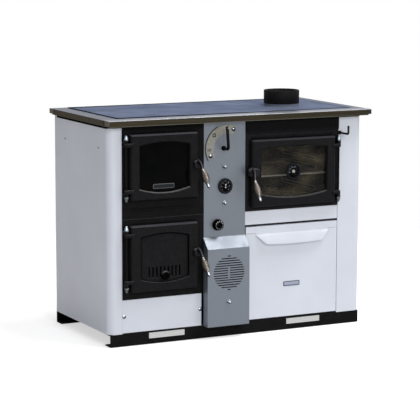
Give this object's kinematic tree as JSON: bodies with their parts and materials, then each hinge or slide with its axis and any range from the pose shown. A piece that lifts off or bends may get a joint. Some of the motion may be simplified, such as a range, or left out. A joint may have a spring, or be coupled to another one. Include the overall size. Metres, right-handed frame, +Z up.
{
  "type": "boiler stove",
  "caption": "Solid-fuel kitchen range with a water jacket round its fire: fire and ash doors on the left, control panel, glazed oven over a wood drawer, steel hob, flue collar on top.",
  "frame": {"origin": "middle of the whole box in x and y, on the floor", "axes": "+X to the viewer's right along the front, +Y to the back, +Z up; the front faces -Y"},
  "size_m": [1.116, 0.6423, 0.9103],
  "materials": {
    "white_enamel": "white powder coat, semi-gloss",
    "grey_paint": "grey paint, satin",
    "cast_iron": "cast iron, stove-black",
    "black_paint": "black paint, matt",
    "rim_steel": "polished stainless steel",
    "hob_steel": "ground steel plate, blue-grey",
    "chrome": "chrome plate",
    "coil_wire": "nickel-plated spring wire",
    "stove_glass": "heat-proof glass, dark behind",
    "boiler_plate": "bare boiler plate",
    "galvanised": "galvanised or tinned sheet",
    "fire_brick": "fire clay, matt",
    "black_plastic": "black moulding",
    "pointer_paint": "white pointer"
  },
  "bodies": {
    "stove": {"side_casing_left": "white_enamel", "side_casing_right": "white_enamel", "lower_front_panel": "white_enamel", "front_rail": "white_enamel", "control_panel": "grey_paint", "fan_cover": "grey_paint", "fire_front_casting": "cast_iron", "ash_front_casting": "cast_iron", "fire_grate": "cast_iron", "skid_front": "black_paint", "skid_rear": "black_paint", "oven_front_frame": "black_paint", "oven_box": "black_paint", "flue_collar": "black_paint", "fan_motor": "black_paint", "worktop_rim": "rim_steel", "hob_plate_left": "hob_steel", "hob_plate_right": "hob_steel", "panel_nut_upper": "chrome", "panel_nut_lower": "chrome", "fan_cover_nut": "chrome", "fire_hinge_rod": "chrome", "ash_hinge_rod": "chrome", "oven_hinge_rod": "chrome", "oven_rack": "chrome", "boiler_jacket": "boiler_plate", "smoke_channel": "boiler_plate", "base_plate": "galvanised", "rear_panel": "galvanised", "ash_pan": "galvanised", "regulator_scale": "galvanised", "firebrick_left": "fire_brick", "firebrick_right": "fire_brick", "boiler_gauge": "black_plastic", "thermostat_switch": "black_plastic"},
    "fire_door_leaf": {"fire_door": "cast_iron", "fire_glass": "stove_glass"},
    "fire_handle_lever": {"fire_handle": "cast_iron", "fire_grip_coil": "coil_wire", "fire_grip_nut": "chrome"},
    "ash_door_leaf": {"ash_door": "cast_iron"},
    "ash_handle_lever": {"ash_handle": "cast_iron", "ash_grip_coil": "coil_wire", "ash_grip_nut": "chrome"},
    "ash_air_plate": {"ash_air_slider": "cast_iron"},
    "oven_door_leaf": {"oven_door": "cast_iron", "oven_glass": "stove_glass", "oven_gauge": "black_plastic"},
    "oven_handle_lever": {"oven_handle": "cast_iron", "oven_grip_coil": "coil_wire", "oven_grip_nut": "chrome"},
    "oven_pointer": {"oven_gauge_needle": "pointer_paint"},
    "regulator": {"regulator_crank": "black_paint"},
    "boiler_pointer": {"boiler_gauge_needle": "pointer_paint"},
    "thermostat_dial": {"thermostat_knob": "black_plastic"},
    "fan": {"fan_impeller": "galvanised"},
    "damper": {"damper_rod": "black_paint"},
    "wood_drawer": {"drawer_front": "white_enamel", "drawer_handle": "white_enamel", "drawer_box": "galvanised"}
  },
  "joints": [
    {"name": "fire_door_hinge", "type": "hinge", "parent": "stove", "child": "fire_door_leaf", "pos_m": [-0.479, -0.23124, 0.6715], "axis": [0, 0, 1], "range_deg": [-120, 0]},
    {"name": "fire_handle_turn", "type": "hinge", "parent": "fire_door_leaf", "child": "fire_handle_lever", "pos_m": [-0.193, -0.23724, 0.673], "axis": [0, 1, 0], "range_deg": [-90, 0]},
    {"name": "ash_door_hinge", "type": "hinge", "parent": "stove", "child": "ash_door_leaf", "pos_m": [-0.479, -0.23124, 0.3295], "axis": [0, 0, 1], "range_deg": [-120, 0]},
    {"name": "ash_handle_turn", "type": "hinge", "parent": "ash_door_leaf", "child": "ash_handle_lever", "pos_m": [-0.193, -0.23724, 0.34], "axis": [0, 1, 0], "range_deg": [-90, 0]},
    {"name": "ash_air_slide", "type": "slide", "parent": "ash_door_leaf", "child": "ash_air_plate", "axis": [1, 0, 0], "range_m": [0, 0.0079]},
    {"name": "oven_door_hinge", "type": "hinge", "parent": "stove", "child": "oven_door_leaf", "pos_m": [0.427, -0.23124, 0.621], "axis": [0, 0, 1], "range_deg": [0, 120]},
    {"name": "oven_handle_turn", "type": "hinge", "parent": "oven_door_leaf", "child": "oven_handle_lever", "pos_m": [0.053, -0.23724, 0.628], "axis": [0, 1, 0], "range_deg": [0, 90]},
    {"name": "oven_pointer_turn", "type": "hinge", "parent": "oven_door_leaf", "child": "oven_pointer", "pos_m": [0.2255, -0.23174, 0.622], "axis": [0, 1, 0], "range_deg": [-135, 135]},
    {"name": "regulator_turn", "type": "hinge", "parent": "stove", "child": "regulator", "pos_m": [-0.068, -0.21414, 0.724], "axis": [0, 1, 0], "range_deg": [-105, 0]},
    {"name": "boiler_pointer_turn", "type": "hinge", "parent": "stove", "child": "boiler_pointer", "pos_m": [-0.062, -0.21914, 0.58], "axis": [0, 1, 0], "range_deg": [-135, 135]},
    {"name": "thermostat_turn", "type": "hinge", "parent": "stove", "child": "thermostat_dial", "pos_m": [-0.094, -0.21414, 0.434], "axis": [0, 1, 0], "range_deg": [0, 270]},
    {"name": "fan_spin", "type": "hinge", "parent": "stove", "child": "fan", "pos_m": [-0.062, -0.21914, 0.2525], "axis": [0, 1, 0], "continuous": true},
    {"name": "damper_slide", "type": "slide", "parent": "stove", "child": "damper", "axis": [0, 1, 0], "range_m": [0, 0.055]},
    {"name": "drawer_slide", "type": "slide", "parent": "stove", "child": "wood_drawer", "axis": [0, -1, 0], "range_m": [0, 0.35]}
  ]
}
